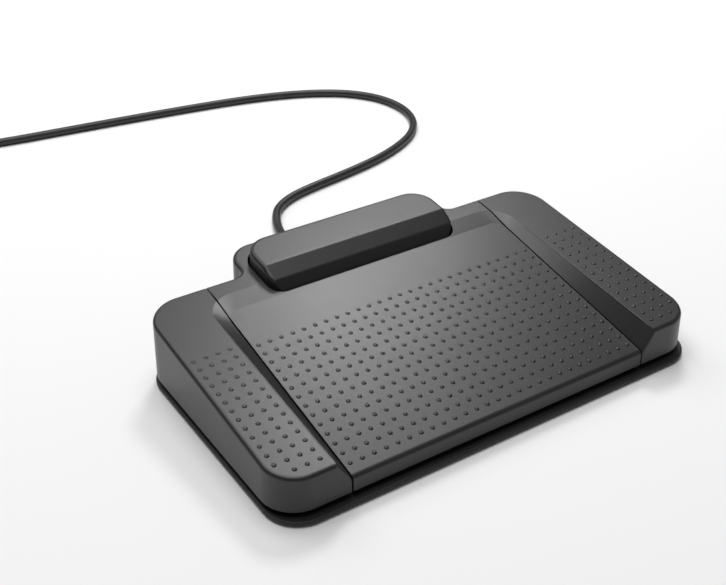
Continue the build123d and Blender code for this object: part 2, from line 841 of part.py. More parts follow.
def plug_shell():
    """Metal shell of the plug, open at its end, with two latch windows on each face."""
    outer = Box(plug_shell_width, plug_shell_height, plug_shell_length, align=plug_align)
    inner = Box(
        plug_shell_width - 2 * plug_shell_wall,
        plug_shell_height - 2 * plug_shell_wall,
        plug_shell_length,
        align=plug_align,
    )
    shell = outer - inner
    for x in (-plug_window_x, plug_window_x):
        shell -= Pos(x, 0, plug_window_z) * Box(plug_window, 2 * plug_shell_height, plug_window)
    return plug_frame() * Pos(0, 0, plug_length) * shell


def plug_tongue():
    """Contact block inside the metal shell."""
    width = plug_shell_width - 2 * plug_shell_wall - plug_tongue_gap
    tongue = Box(width, plug_tongue_height, plug_shell_length - plug_tongue_gap, align=plug_align)
    lift = -plug_shell_height / 2 + plug_shell_wall + plug_tongue_height / 2 + plug_tongue_gap / 10
    return plug_frame() * Pos(0, lift, plug_length) * tongue


def save(name, shape):
    """Write one sub-part."""
    export_step(shape, f"parts/{name}.step")


os.makedirs("parts", exist_ok=True)
save("base_plate", base_plate())
for name, x, y in foot_places():
    save(f"foot_{name}", foot_pad(x, y, 0, 0, foot_height + foot_recess))

right_wing = wing_shell()
save("right_pedal_shell", right_wing)
save("left_pedal_shell", mirrored(right_wing))
save("centre_pedal_shell", centre_shell())
save("bar_pedal_shell", bar_shell())

right_tower = tower()
save("tower_right", right_tower)
save("tower_left", mirrored(right_tower))
save("tower_screws", screws(tower_screw_places(), tower_foot + tower_plate, tower_screw_length))

for name, side in (("left", -1), ("right", 1)):
    save(f"axle_wing_{name}", axle(side * wing_hinge_x, wing_axis_y, wing_axis_height, axle_reach))
    pin = axle(side * centre_hinge_x, centre_axis_y, centre_axis_height, centre_axle_reach)
    save(f"axle_centre_{name}", pin)
    wing_spring_top = wing_z(spring_y - spring_radius) - roof
    save(f"spring_wing_{name}", coil_spring(side * wing_x, spring_y, plate_top, wing_spring_top))
    pad_spring_top = pad_z(spring_y - spring_radius) - roof
    pad_spring = coil_spring(side * centre_spring_x, spring_y, plate_top, pad_spring_top)
    save(f"spring_centre_{name}", pad_spring)
    bar_spring = coil_spring(side * bar_spring_x, bar_spring_y, bar_pillar_height, bar_spring_top)
    save(f"spring_bar_{name}", bar_spring)
    save(f"bumper_wing_{name}", bumper(side * wing_x, wing_axis_y, wing_travel))
    save(f"bumper_centre_{name}", bumper(side * centre_catch_x, centre_axis_y, centre_travel))
    save(f"magnet_wing_{name}", magnet(side * wing_x, sensor_y, magnet_foot(board_foot)))
    wing_sensor = sensor_board(side * wing_x, sensor_y, board_foot, sensor_screw_room)
    save(f"sensor_wing_{name}", wing_sensor)
    lead_end = wing_x + sensor_width / 4
    lead_y = sensor_y - sensor_lead_offset
    lead_z = plate_top + wire_radius + press_fit
    lead = pin_along_x(side * board_width / 4, side * lead_end, lead_y, lead_z, wire_radius)
    save(f"sensor_lead_{name}", lead)
save("axle_bar", axle(0, bar_axis_y, bar_axis_height, bar_axle_reach))
save("magnet_centre", magnet(0, board_y, magnet_foot(board_foot)))
bar_magnet_y = bar_front + bar_catch_inset + (catch_leg + toe_reach) / 2
bar_magnet_foot = bar_toe_height - magnet_thickness
bar_magnet = magnet(-bar_catch_x, bar_magnet_y, bar_magnet_foot, catch_width / 2 - magnet_inset)
save("magnet_bar", bar_magnet)
bar_sensor = sensor_board(-bar_catch_x, bar_magnet_y, tower_foot + tower_plate, 0)
save("sensor_bar", bar_sensor)

save("circuit_board", circuit_board())
board_top = board_foot + board_thickness
half_chip = chip_size / 2
chip_x = board_width / 4
chip_y0 = board_y - half_chip
chip_y1 = board_y + half_chip
chip_top = board_top + chip_height
controller = block(chip_x - half_chip, chip_x + half_chip, chip_y0, chip_y1, board_top, chip_top)
save("controller_chip", controller)
half_hall = hall_size / 2
hall_y0 = board_y - half_hall
hall_y1 = board_y + half_hall
hall = block(-half_hall, half_hall, hall_y0, hall_y1, board_top, board_top + hall_height)
save("sensor_centre", hall)
socket_rear = board_y + board_depth / 2
half_socket = socket_width / 2
socket_front = socket_rear - socket_depth
socket = block(-half_socket, half_socket, socket_front, socket_rear, board_top, board_top + socket_height)
save("cable_socket", socket)
save("board_screws", screws(board_screw_places(), board_top, board_screw_length))

save("cable_boot", boot())
lead_start = hump_y - wall - tray_gap - tray_wall - boot_collar_thickness
save("inner_cable", pin_along_y(socket_rear, lead_start, 0, exit_height, cable_radius))
save("cable_clamp", clamp())
clamp_places = [(-clamp_screw_x, clamp_y), (clamp_screw_x, clamp_y)]
save("clamp_screws", screws(clamp_places, exit_height + clamp_height, clamp_screw_length))
save("cable", tube(cable_route, "cable"))
save("cable_coil", cable_coil())
save("cable_tail", tube(plug_route, "cable_tail"))
save("plug_body", plug_body())
save("plug_shell", plug_shell())
save("plug_tongue", plug_tongue())
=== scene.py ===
"""Visual model of a dictation foot control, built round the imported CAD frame."""

import logging
import math
from dataclasses import dataclass, field
from enum import Enum
from typing import Iterable, Optional, Sequence, Union

import bpy
import numpy as np
from mathutils import Matrix, Vector


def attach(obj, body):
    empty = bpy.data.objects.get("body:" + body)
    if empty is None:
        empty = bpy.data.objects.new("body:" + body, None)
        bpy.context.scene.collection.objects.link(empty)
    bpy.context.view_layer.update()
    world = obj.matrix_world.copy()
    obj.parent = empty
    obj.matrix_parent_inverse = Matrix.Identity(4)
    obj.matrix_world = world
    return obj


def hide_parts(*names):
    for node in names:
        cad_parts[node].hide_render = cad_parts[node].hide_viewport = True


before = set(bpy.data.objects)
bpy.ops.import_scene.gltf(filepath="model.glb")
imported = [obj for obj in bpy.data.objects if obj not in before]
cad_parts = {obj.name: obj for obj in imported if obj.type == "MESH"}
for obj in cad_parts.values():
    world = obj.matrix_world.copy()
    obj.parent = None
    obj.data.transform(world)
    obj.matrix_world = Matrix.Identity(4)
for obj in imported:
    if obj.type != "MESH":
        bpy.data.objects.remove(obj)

LOG = logging.getLogger("foot_control")
logging.basicConfig(level=logging.INFO, format="%(message)s")

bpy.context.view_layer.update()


class Side(Enum):
    """A side of the control, with its sign along X."""

    LEFT = -1
    RIGHT = 1


@dataclass(frozen=True)
class Slope:
    """The sloping plane of a pedal's top, rising to the rear from the front edge."""

    front_height: float
    angle: float
    front: float = -0.0688

    def height(self, y: np.ndarray) -> np.ndarray:
        """Front height plus the distance from the front times the tangent of the angle."""
        return self.front_height + (y - self.front) * math.tan(math.radians(self.angle))


PAD_SLOPE = Slope(front_height=0.0121, angle=10.39)
WING_SLOPE = Slope(front_height=0.0208, angle=6.32)


# ---------------------------------------------------------------- shader maths


class Wave:
    """A shader value: wraps an output socket and writes Math nodes for operators."""

    def __init__(self, graph: "Graph", socket: bpy.types.NodeSocket) -> None:
        """Keep the graph and the socket that holds the value."""
        self.graph = graph
        self.socket = socket

    def _math(self, operation: str, *values: "Number", clamp: bool = False) -> "Wave":
        """Add a Math node.

        Args:
            operation: Name of the Math node's operation.
            values: Numbers or values for its inputs, in order.
            clamp: Whether the result stays between 0 and 1.

        Returns:
            The node's result.
        """
        settings = {"operation": operation, "use_clamp": clamp}
        node = self.graph.node("ShaderNodeMath", settings, dict(enumerate(values)))
        return Wave(self.graph, node.outputs[0])

    def __add__(self, other: "Number") -> "Wave":
        """Sum."""
        return self._math("ADD", self, other)

    __radd__ = __add__

    def __mul__(self, other: "Number") -> "Wave":
        """Product."""
        return self._math("MULTIPLY", self, other)

    __rmul__ = __mul__

    def __sub__(self, other: "Number") -> "Wave":
        """Difference."""
        return self._math("SUBTRACT", self, other)

    def __rsub__(self, other: "Number") -> "Wave":
        """Reflected difference, as in 1 - mask."""
        return self._math("SUBTRACT", other, self)

    def between(self, low: float, high: float) -> "Wave":
        """Smooth step from 0 at low to 1 at high."""
        settings = {"interpolation_type": "SMOOTHSTEP"}
        inputs = {0: self, 1: low, 2: high, 3: 0.0, 4: 1.0}
        node = self.graph.node("ShaderNodeMapRange", settings, inputs)
        return Wave(self.graph, node.outputs[0])

    def clamped(self) -> "Wave":
        """The value, kept between 0 and 1."""
        return self._math("ADD", self, 0.0, clamp=True)


Number = Union[float, int, Wave]


class Graph:
    """The node tree of one material."""

    def __init__(self, name: str) -> None:
        """Make an empty material with a Principled shader."""
        self.material = bpy.data.materials.new(name)
        self.material.use_nodes = True
        self.tree = self.material.node_tree
        self.tree.nodes.clear()
        self.shader = self.node("ShaderNodeBsdfPrincipled")
        output = self.node("ShaderNodeOutputMaterial")
        self.tree.links.new(self.shader.outputs[0], output.inputs["Surface"])

    def node(
        self, kind: str, settings: Optional[dict] = None, inputs: Optional[dict] = None
    ) -> bpy.types.Node:
        """Add a node.

        Args:
            kind: The node's type.
            settings: Attributes of the node, set before its sockets.
            inputs: Socket name or number to a value, a Wave or a socket.

        Returns:
            The new node.
        """
        made = self.tree.nodes.new(kind)
        for key, value in (settings or {}).items():
            setattr(made, key, value)
        for key, value in (inputs or {}).items():
            self.feed(made.inputs[key], value)
        return made

    def feed(self, socket: bpy.types.NodeSocket, value: object) -> None:
        """Set a socket to a number or colour, or link a value into it."""
        if isinstance(value, Wave):
            value = value.socket
        if isinstance(value, bpy.types.NodeSocket):
            self.tree.links.new(value, socket)
        else:
            socket.default_value = value

    def position(self, scale: Sequence[float] = (1.0, 1.0, 1.0)) -> bpy.types.NodeSocket:
        """Object coordinates, scaled along each axis."""
        coordinates = self.node("ShaderNodeTexCoord").outputs["Object"]
        mapping = self.node("ShaderNodeMapping", None, {"Vector": coordinates, "Scale": scale})
        return mapping.outputs[0]

    def surface(self, name: str, value: object) -> None:
        """Feed one input of the Principled shader."""
        self.feed(self.shader.inputs[name], value)

    def noise(
        self,
        scale: float,
        detail: float = 2.0,
        roughness: float = 0.5,
        stretch: Sequence[float] = (1.0, 1.0, 1.0),
    ) -> Wave:
        """Noise on Object coordinates.

        Args:
            scale: Cells per metre.
            detail: Octaves.
            roughness: Weight of the finer octaves.
            stretch: Scale along each axis.

        Returns:
            A value from 0 to 1.
        """
        inputs = {
            "Vector": self.position(stretch),
            "Scale": scale,
            "Detail": detail,
            "Roughness": roughness,
        }
        return Wave(self, self.node("ShaderNodeTexNoise", None, inputs).outputs[0])

    def cells(self, scale: float, stretch: Sequence[float] = (1.0, 1.0, 1.0)) -> Wave:
        """Distance to the nearest cell point, on Object coordinates."""
        inputs = {"Vector": self.position(stretch), "Scale": scale}
        return Wave(self, self.node("ShaderNodeTexVoronoi", None, inputs).outputs["Distance"])

    def blend(
        self, mask: Number, first: Sequence[float], second: Sequence[float]
    ) -> bpy.types.NodeSocket:
        """Colour between two colours, by a mask."""
        settings = {"data_type": "RGBA"}
        inputs = {0: mask, 6: (*first, 1.0), 7: (*second, 1.0)}
        return self.node("ShaderNodeMix", settings, inputs).outputs[2]

    def bump(self, height: Wave, distance: float) -> bpy.types.NodeSocket:
        """Normal from a height, with the distance in metres."""
        inputs = {"Height": height, "Distance": distance, "Strength": 1.0}
        return self.node("ShaderNodeBump", None, inputs).outputs[0]


# -------------------------------------------------------------------- finishes


@dataclass(frozen=True)
class MouldedPlastic:
    """Moulded thermoplastic with a spark-eroded texture, faint flow marks and rubbed spots."""

    name: str
    colour: tuple[float, float, float]
    roughness: float = 0.5
    texture_height: float = 0.00002
    texture_scale: float = 2600.0
    flow_scale: float = 14.0
    spot_scale: float = 900.0
    variation: float = 0.10
    rubbed: float = 0.10
    specular: float = 0.5

    def material(self) -> bpy.types.Material:
        """Make the node material."""
        graph = Graph(self.name)
        flow = graph.noise(self.flow_scale, 3.0)
        spots = graph.noise(self.spot_scale, 2.0, 0.6)
        dark = tuple(c * (1.0 - self.variation) for c in self.colour)
        pale = tuple(c * (1.0 + self.variation) for c in self.colour)
        mask = (flow * 0.7 + spots * 0.3).between(0.3, 0.7)
        graph.surface("Base Color", graph.blend(mask, dark, pale))
        rough = (flow - 0.5) * self.rubbed + (spots - 0.5) * self.rubbed + self.roughness
        graph.surface("Roughness", rough.clamped())
        graph.surface("Specular IOR Level", self.specular)
        pits = graph.cells(self.texture_scale * 0.6)
        grain = graph.noise(self.texture_scale, 2.0, 0.7) + pits * 0.5
        graph.surface("Normal", graph.bump(grain, self.texture_height))
        return graph.material


@dataclass(frozen=True)
class Rubber:
    """Matte rubber with a fine pitted surface and dust in its pores."""

    name: str
    colour: tuple[float, float, float]
    roughness: float = 0.75
    dust_scale: float = 60.0
    pore_scale: float = 1500.0
    pore_depth: float = 0.00002
    dust_lift: float = 0.015

    def material(self) -> bpy.types.Material:
        """Make the node material."""
        graph = Graph(self.name)
        dust = graph.noise(self.dust_scale, 4.0, 0.6)
        pores = graph.cells(self.pore_scale)
        pale = tuple(c + self.dust_lift for c in self.colour)
        graph.surface("Base Color", graph.blend(dust.between(0.5, 0.8), self.colour, pale))
        graph.surface("Roughness", ((dust - 0.5) * 0.15 + self.roughness).clamped())
        height = pores * 0.6 + graph.noise(self.pore_scale * 2.0, 2.0) * 0.4
        graph.surface("Normal", graph.bump(height, self.pore_depth))
        return graph.material


@dataclass(frozen=True)
class CableJacket:
    """Extruded PVC jacket: a fine grain, scuffs and a satin gloss."""

    name: str
    colour: tuple[float, float, float]
    roughness: float = 0.42
    scuff_scale: float = 120.0
    grain_scale: float = 2200.0
    grain_height: float = 0.00001

    def material(self) -> bpy.types.Material:
        """Make the node material."""
        graph = Graph(self.name)
        scuff = graph.noise(self.scuff_scale, 4.0, 0.6)
        grain = graph.noise(self.grain_scale, 2.0)
        pale = tuple(c * 1.5 for c in self.colour)
        graph.surface("Base Color", graph.blend(scuff.between(0.45, 0.75), self.colour, pale))
        graph.surface("Roughness", ((scuff - 0.5) * 0.2 + self.roughness).clamped())
        graph.surface("Normal", graph.bump(grain, self.grain_height))
        return graph.material


@dataclass(frozen=True)
class Webbing:
    """Hook-and-loop strap: small loops of thread with a painted highlight on their tops, and fuzz
    over them.
    """

    name: str
    colour: tuple[float, float, float]
    thread: float = 0.0006
    fuzz_scale: float = 1800.0
    loop_height: float = 0.00012

    def material(self) -> bpy.types.Material:
        """Make the node material."""
        graph = Graph(self.name)
        loops = graph.cells(1.0 / self.thread)
        fuzz = graph.noise(self.fuzz_scale, 3.0, 0.7)
        # pale here is a painted highlight: each loop's top is painted paler, standing in for light
        # catching it, and the thread between loops keeps the darker colour.
        pale = tuple(c * 2.2 for c in self.colour)
        graph.surface("Base Color", graph.blend(loops.between(0.2, 0.8), pale, self.colour))
        graph.surface("Roughness", 0.9)
        graph.surface("Normal", graph.bump(loops + fuzz * 0.5, self.loop_height))
        return graph.material


@dataclass(frozen=True)
class Metal:
    """Bare or plated metal with drawn or ground lines."""

    name: str
    colour: tuple[float, float, float]
    roughness: float = 0.3
    lines: tuple[float, float, float] = (1.0, 1.0, 1.0)
    line_scale: float = 1200.0
    line_depth: float = 0.000008
    stain_scale: float = 80.0

    def material(self) -> bpy.types.Material:
        """Make the node material."""
        graph = Graph(self.name)
        graph.surface("Metallic", 1.0)
        drawn = graph.noise(self.line_scale, 3.0, 0.6, self.lines)
        stain = graph.noise(self.stain_scale, 3.0)
        dark = tuple(c * 0.8 for c in self.colour)
        graph.surface("Base Color", graph.blend(stain.between(0.35, 0.75), self.colour, dark))
        graph.surface("Roughness", ((drawn - 0.5) * 0.2 + self.roughness).clamped())
        graph.surface("Normal", graph.bump(drawn, self.line_depth))
        return graph.material


@dataclass(frozen=True)
class BoardLacquer:
    """Green solder mask with a fine grain and paler tracks under it."""

    name: str
    colour: tuple[float, float, float]
    roughness: float = 0.28
    track_scale: float = 260.0
    grain_scale: float = 1400.0
    track_height: float = 0.00003

    def material(self) -> bpy.types.Material:
        """Make the node material."""
        graph = Graph(self.name)
        tracks = graph.noise(self.track_scale, 0.0, 0.5, (1.0, 4.0, 1.0)).between(0.5, 0.53)
        pale = tuple(c * 1.9 for c in self.colour)
        graph.surface("Base Color", graph.blend(tracks, self.colour, pale))
        graph.surface("Roughness", (tracks * 0.1 + self.roughness).clamped())
        height = tracks + graph.noise(self.grain_scale, 1.0) * 0.2
        graph.surface("Normal", graph.bump(height, self.track_height))
        return graph.material


# ----------------------------------------------------------------- mesh making


def mesh_piece(
    name: str,
    points: np.ndarray,
    faces: np.ndarray,
    material: bpy.types.Material,
    smooth: bool = True,
) -> bpy.types.Object:
    """Make an object from whole arrays.

    Args:
        name: Object and mesh name.
        points: Vertices in metres, one row each.
        faces: Vertex numbers, one row for each face, all with the same count.
        material: Its finish.
        smooth: Whether the faces are shaded smooth.

    Returns:
        The new object, linked to the scene.
    """
    mesh = bpy.data.meshes.new(name)
    count, corners = faces.shape
    mesh.vertices.add(len(points))
    mesh.vertices.foreach_set("co", points.astype(np.float32).ravel())
    mesh.loops.add(count * corners)
    mesh.loops.foreach_set("vertex_index", faces.astype(np.int32).ravel())
    mesh.polygons.add(count)
    mesh.polygons.foreach_set("loop_start", np.arange(count, dtype=np.int32) * corners)
    mesh.polygons.foreach_set("use_smooth", np.full(count, smooth))
    mesh.update(calc_edges=True)
    mesh.validate()
    mesh.materials.append(material)
    made = bpy.data.objects.new(name, mesh)
    bpy.context.scene.collection.objects.link(made)
    return made


def tube_mesh(line: np.ndarray, radius: float, sides: int) -> tuple[np.ndarray, np.ndarray]:
    """Closed round tube along a line.

    Each ring is a point of the line plus radius times (cos, sin) in the frame across the line, and
    each end is a fan to the line's own end.

    Args:
        line: Points of the centre line.
        radius: The tube's radius.
        sides: Points in each ring.

    Returns:
        Vertices and triangles.
    """
    along = np.gradient(line, axis=0)
    along /= np.linalg.norm(along, axis=1, keepdims=True)
    side = np.cross(along, [0.0, 0.0, 1.0])
    side /= np.linalg.norm(side, axis=1, keepdims=True)
    up = np.cross(side, along)
    angle = np.linspace(0.0, 2 * np.pi, sides, endpoint=False)
    wave = np.stack([np.cos(angle), np.sin(angle)])[:, None, :, None]
    ring = wave[0] * side[:, None, :] + wave[1] * up[:, None, :]
    points = (line[:, None, :] + radius * ring).reshape(-1, 3)
    points = np.vstack([points, line[0], line[-1]])
    i = np.arange(len(line) - 1)[:, None]
    j = np.arange(sides)[None, :]
    k = (j + 1) % sides
    a = i * sides + j
    b = i * sides + k
    c = (i + 1) * sides + k
    d = (i + 1) * sides + j
    walls = np.concatenate([np.stack([a, b, c], -1), np.stack([a, c, d], -1)]).reshape(-1, 3)
    j = np.arange(sides)
    k = (j + 1) % sides
    last = (len(line) - 1) * sides
    head = np.stack([np.full(sides, len(points) - 2), k, j], -1)
    foot = np.stack([np.full(sides, len(points) - 1), last + j, last + k], -1)
    return points, np.concatenate([walls, head, foot])


# ---------------------------------------------------------------------- camera


@dataclass(frozen=True)
class Softbox:
    """A rectangular soft light: its place, the point that it faces, its size and its watts."""

    name: str
    place: tuple[float, float, float]
    aim: tuple[float, float, float]
    size: tuple[float, float]
    power: float

    def build(self) -> None:
        """Put the light in the scene, with its face towards its aim."""
        data = bpy.data.lights.new(self.name, "AREA")
        data.shape = "RECTANGLE"
        data.size, data.size_y = self.size
        data.energy = self.power
        lamp = bpy.data.objects.new(self.name, data)
        place = Vector(self.place)
        turn = (Vector(self.aim) - place).to_track_quat("-Z", "Y").to_matrix().to_4x4()
        lamp.matrix_world = Matrix.Translation(place) @ turn
        bpy.context.scene.collection.objects.link(lamp)


@dataclass
class Studio:
    """Camera, pale floor and soft lights."""

    target: tuple[float, float, float] = (0.00985, 0.05344, 0.0)
    distance: float = 0.56714
    azimuth: float = -33.146
    elevation: float = 32.372
    lens: float = 57.75
    sensor: float = 36.0
    floor_size: float = 6.0
    floor_tone: float = 0.93
    world_strength: float = 0.15
    softboxes: tuple[Softbox, ...] = (
        Softbox("rear_softbox", (0.55, 0.66, 0.97), (0.0, 0.0, 0.02), (0.28, 0.28), 5.2),
        Softbox("left_softbox", (-0.2, 1.2, 1.2), (0.0, 0.0, 0.0), (1.0, 0.8), 4.5),
        Softbox("top_softbox", (-0.1, 0.2, 1.5), (0.0, 0.05, 0.0), (1.2, 1.2), 15.0),
    )

    def camera(self) -> None:
        """Aim the camera from its azimuth, elevation and distance."""
        a = math.radians(self.azimuth)
        e = math.radians(self.elevation)
        back = Vector((math.sin(a) * math.cos(e), -math.cos(a) * math.cos(e), math.sin(e)))
        right = Vector((math.cos(a), math.sin(a), 0.0))
        up = back.cross(right)
        data = bpy.data.cameras.new("camera")
        data.lens = self.lens
        data.sensor_width = self.sensor
        data.clip_start = 0.01
        data.clip_end = 50.0
        seat = bpy.data.objects.new("camera", data)
        turn = Matrix((right, up, back)).transposed().to_4x4()
        seat.matrix_world = Matrix.Translation(Vector(self.target) + back * self.distance) @ turn
        bpy.context.scene.collection.objects.link(seat)
        bpy.context.scene.camera = seat

    def floor(self) -> None:
        """A pale floor that isn't part of the object."""
        graph = Graph("studio_floor")
        graph.surface("Base Color", (*[self.floor_tone] * 3, 1.0))
        graph.surface("Roughness", 0.9)
        graph.surface("Specular IOR Level", 0.1)
        half = self.floor_size / 2
        signs = np.array([[-1, -1, 0], [1, -1, 0], [1, 1, 0], [-1, 1, 0]])
        face = np.array([[0, 1, 2, 3]])
        floor = mesh_piece("studio_floor", half * signs, face, graph.material, smooth=False)

    def lights(self) -> None:
        """Dim world light and the softboxes."""
        scene = bpy.context.scene
        scene.world = bpy.data.worlds.new("studio_world")
        scene.world.use_nodes = True
        background = scene.world.node_tree.nodes["Background"]
        background.inputs["Color"].default_value = (1.0, 1.0, 1.0, 1.0)
        background.inputs["Strength"].default_value = self.world_strength
        scene.view_settings.view_transform = "Standard"
        for softbox in self.softboxes:
            softbox.build()

    def build(self) -> None:
        """Make the studio."""
        self.camera()
        self.floor()
        self.lights()
        LOG.info("studio")


# ----------------------------------------------------------------------- cable


@dataclass
class Cable:
    """Round cable: from its boot over the floor, into a put-away coil, and out to its plug."""

    radius: float = 0.00235
    coil_centre: tuple[float, float] = (-0.1390, 0.2921)
    coil_radius: float = 0.0255
    turns: float = 11.25
    turn_gap: float = 0.00005
    points_per_turn: int = 16
    step_arc: float = 60.0
    corner_lead: float = 30.0
    start_angle: float = 90.0
    first_step: float = 330.0
    rest_height: float = 0.0024
    layers: int = 4
    tie_angle: float = -60.0
    strap_width: float = 0.010
    strap_thickness: float = 0.0008
    strap_bottom: float = 0.0002
    strap_squareness: float = 5.0
    strap_points: int = 72
    bundle_half_width: float = 0.0075
    route: tuple[tuple[float, float, float], ...] = (
        (0.0, 0.0895, 0.0080),
        (0.0, 0.0980, 0.0080),
        (0.0005, 0.1075, 0.0062),
        (0.0018, 0.1170, 0.0036),
        (0.0046, 0.1270, 0.0025),
        (0.0090, 0.1376, 0.0024),
        (0.0160, 0.1480, 0.0024),
        (0.0290, 0.1554, 0.0024),
        (0.0460, 0.1593, 0.0024),
        (0.0640, 0.1622, 0.0024),
        (0.0820, 0.1656, 0.0024),
        (0.1000, 0.1702, 0.0024),
        (0.1170, 0.1772, 0.0024),
        (0.1330, 0.1870, 0.0024),
        (0.1455, 0.2020, 0.0024),
        (0.1510, 0.2220, 0.0024),
        (0.1475, 0.2435, 0.0024),
        (0.1355, 0.2610, 0.0024),
        (0.1185, 0.2733, 0.0024),
        (0.0970, 0.2830, 0.0024),
        (0.0700, 0.2906, 0.0024),
        (0.0420, 0.2956, 0.0024),
        (0.0120, 0.3002, 0.0024),
        (-0.0180, 0.3042, 0.0024),
        (-0.0480, 0.3081, 0.0024),
        (-0.0770, 0.3117, 0.0024),
        (-0.1000, 0.3164, 0.0024),
        (-0.1190, 0.3207, 0.0024),
    )
    tail: tuple[tuple[float, float, float], ...] = (
        (-0.1695, 0.2780, 0.0052),
        (-0.1668, 0.2635, 0.0026),
        (-0.1610, 0.2490, 0.0042),
        (-0.1565, 0.2365, 0.0042),
    )

    @property
    def pitch(self) -> float:
        """Distance between neighbouring turns."""
        return 2 * self.radius + self.turn_gap

    def winding(self) -> np.ndarray:
        """Coil turns: once a turn, radius and height step from one seat to the next.

        The angle grows evenly, and each step is a cubic smooth step over step_arc degrees. A seat
        is a column and a layer, each a cable's width from the next. A step that turns a corner
        comes a little earlier in its turn than the one before, so that a turn leaves its seat
        before the next one moves in. The spline runs inside its control points, so the radius is
        divided by bow.

        Returns:
            Control points, in metres.
        """
        columns = [2, 1, 0, 0, 1, 1, 0, 0, 1, 2, 2, 2]
        levels = [0, 0, 0, 1, 1, 2, 2, 3, 3, 3, 2, 1]
        seats = np.column_stack([columns, levels]).astype(float)
        moves = np.diff(seats, axis=0)
        corner = np.concatenate([[0.0], np.any(moves[1:] != moves[:-1], axis=1).astype(float)])
        centre = self.first_step + 360.0 * np.arange(len(moves))
        centre = centre - self.corner_lead * np.cumsum(corner)
        last = 360.0 * self.turns
        angle = np.linspace(0.0, last, round(self.turns * self.points_per_turn) + 1)
        share = np.clip((angle[:, None] - centre[None, :]) / self.step_arc + 0.5, 0.0, 1.0)
        eased = share * share * (3.0 - 2.0 * share)
        seat = seats[0] + eased @ moves
        bow = 0.75 + 0.25 * math.cos(2 * math.pi / self.points_per_turn)
        spread = (self.coil_radius + (seat[:, 0] - 1.0) * self.pitch) / bow
        turn = np.radians(self.start_angle + angle)
        x = self.coil_centre[0] + spread * np.cos(turn)
        y = self.coil_centre[1] + spread * np.sin(turn)
        z = self.rest_height + seat[:, 1] * self.pitch
        return np.column_stack([x, y, z])

    def line(self) -> np.ndarray:
        """Control points of the whole cable, from the boot to the plug."""
        return np.vstack([np.array(self.route), self.winding(), np.array(self.tail)])

    def curve(self) -> bpy.types.Object:
        """The cable as one NURBS spline with a round section."""
        points = self.line()
        data = bpy.data.curves.new("foot_cable", "CURVE")
        data.dimensions = "3D"
        data.resolution_u = 6
        data.bevel_depth = self.radius
        data.bevel_resolution = 5
        data.use_fill_caps = True
        spline = data.splines.new("NURBS")
        spline.points.add(len(points) - 1)
        spline.points.foreach_set("co", np.column_stack([points, np.ones(len(points))]).ravel())
        spline.order_u = 3
        spline.use_endpoint_u = True
        data.materials.append(CableJacket("cable_jacket", (0.020, 0.020, 0.021)).material())
        made = bpy.data.objects.new("foot_cable", data)
        bpy.context.scene.collection.objects.link(made)
        return made

    def tie(self) -> bpy.types.Object:
        """Hook-and-loop strap round the coil's bundle.

        A superellipse round the bundle, in the plane of the coil's radius and height, is carried
        along the strap's width, with an inner and an outer wall and two rims.

        Returns:
            The strap.
        """
        bundle_top = self.rest_height + (self.layers - 1) * self.pitch + self.radius
        low = self.strap_bottom
        high = bundle_top + self.strap_thickness
        halves = np.array([self.bundle_half_width + self.strap_thickness, (high - low) / 2])
        outer = superellipse(*halves, self.strap_squareness, self.strap_points)
        inner = outer * (1.0 - self.strap_thickness / halves)
        width = np.array([-1.0, 1.0]) * self.strap_width / 2
        rings = [(outer, width[0]), (outer, width[1]), (inner, width[1]), (inner, width[0])]
        angle = math.radians(self.tie_angle)
        radial = np.array([math.cos(angle), math.sin(angle), 0.0])
        along = np.array([-math.sin(angle), math.cos(angle), 0.0])
        middle = np.array([*self.coil_centre, (low + high) / 2]) + self.coil_radius * radial
        rise = np.array([0.0, 0.0, 1.0])
        rows = [
            middle + ring[:, :1] * radial + ring[:, 1:] * rise + offset * along
            for ring, offset in rings
        ]
        faces = torus_faces(len(rows), len(outer))
        finish = Webbing("strap_weave", (0.018, 0.018, 0.019)).material()
        return mesh_piece("cable_strap", np.vstack(rows), faces, finish, smooth=False)

    def build(self) -> None:
        """Make the cable and its strap, hang both on the base, and hide the CAD cord."""
        cable = self.curve()
        strap = self.tie()
        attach(cable, "base")
        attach(strap, "base")
        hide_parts("cable", "cable_coil", "cable_tail")
        LOG.info("cable")


def superellipse(half_width: float, half_height: float, power: float, count: int) -> np.ndarray:
    """Closed outline |x/a|^n + |y/b|^n = 1, at even angles.

    Args:
        half_width: Half the outline's width.
        half_height: Half its height.
        power: Squareness: 2 is an ellipse.
        count: Points.

    Returns:
        Points, one row each.
    """
    angle = np.linspace(0.0, 2 * np.pi, count, endpoint=False)
    c = np.cos(angle)
    s = np.sin(angle)
    x = half_width * np.sign(c) * np.abs(c) ** (2 / power)
    y = half_height * np.sign(s) * np.abs(s) ** (2 / power)
    return np.column_stack([x, y])


def torus_faces(rows: int, columns: int) -> np.ndarray:
    """Quads of a grid that closes on itself both ways."""
    i = np.arange(rows)[:, None]
    j = np.arange(columns)[None, :]
    a = i * columns + j
    b = ((i + 1) % rows) * columns + j
    c = ((i + 1) % rows) * columns + (j + 1) % columns
    d = i * columns + (j + 1) % columns
    return np.stack([a, b, c, d], axis=-1).reshape(-1, 4)


# ----------------------------------------------------------------------- grips


